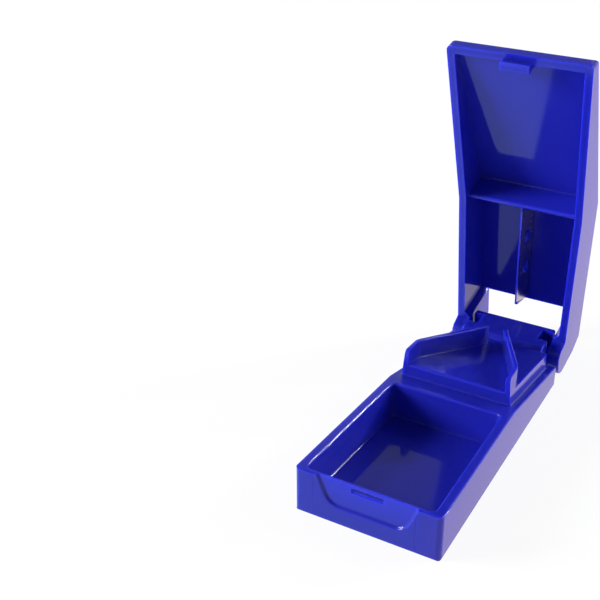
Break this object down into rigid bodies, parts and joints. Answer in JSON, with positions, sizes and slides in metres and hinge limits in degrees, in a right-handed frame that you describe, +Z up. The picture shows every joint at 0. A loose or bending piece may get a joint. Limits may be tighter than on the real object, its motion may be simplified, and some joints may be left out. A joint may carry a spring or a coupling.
{
  "type": "pill splitter",
  "caption": "Pocket pill splitter: a tapered tray with a storage pocket and a V-shaped pill holder, under a hinged wedge lid that carries a steel blade.",
  "frame": {"origin": "on the underside of the base tray, on its centre line and halfway between its front and rear faces", "axes": "+X to the right of the tray seen from its front, +Y from the front face towards the hinge, +Z up from the table"},
  "size_m": [0.034, 0.0947, 0.0851],
  "materials": {
    "base_plastic": "gloss",
    "lid_plastic": "gloss",
    "blade_steel": "ground",
    "front_rivet_plastic": "gloss",
    "rear_rivet_plastic": "gloss"
  },
  "bodies": {
    "base": {"base_tray": "base_plastic"},
    "lid": {"lid_shell": "lid_plastic", "blade": "blade_steel", "front_rivet": "front_rivet_plastic", "rear_rivet": "rear_rivet_plastic"}
  },
  "joints": [
    {"name": "lid_hinge", "type": "hinge", "parent": "base", "child": "lid", "pos_m": [0, 0.04289, 0.00466], "axis": [1, 0, 0], "range_deg": [0, 76]}
  ]
}
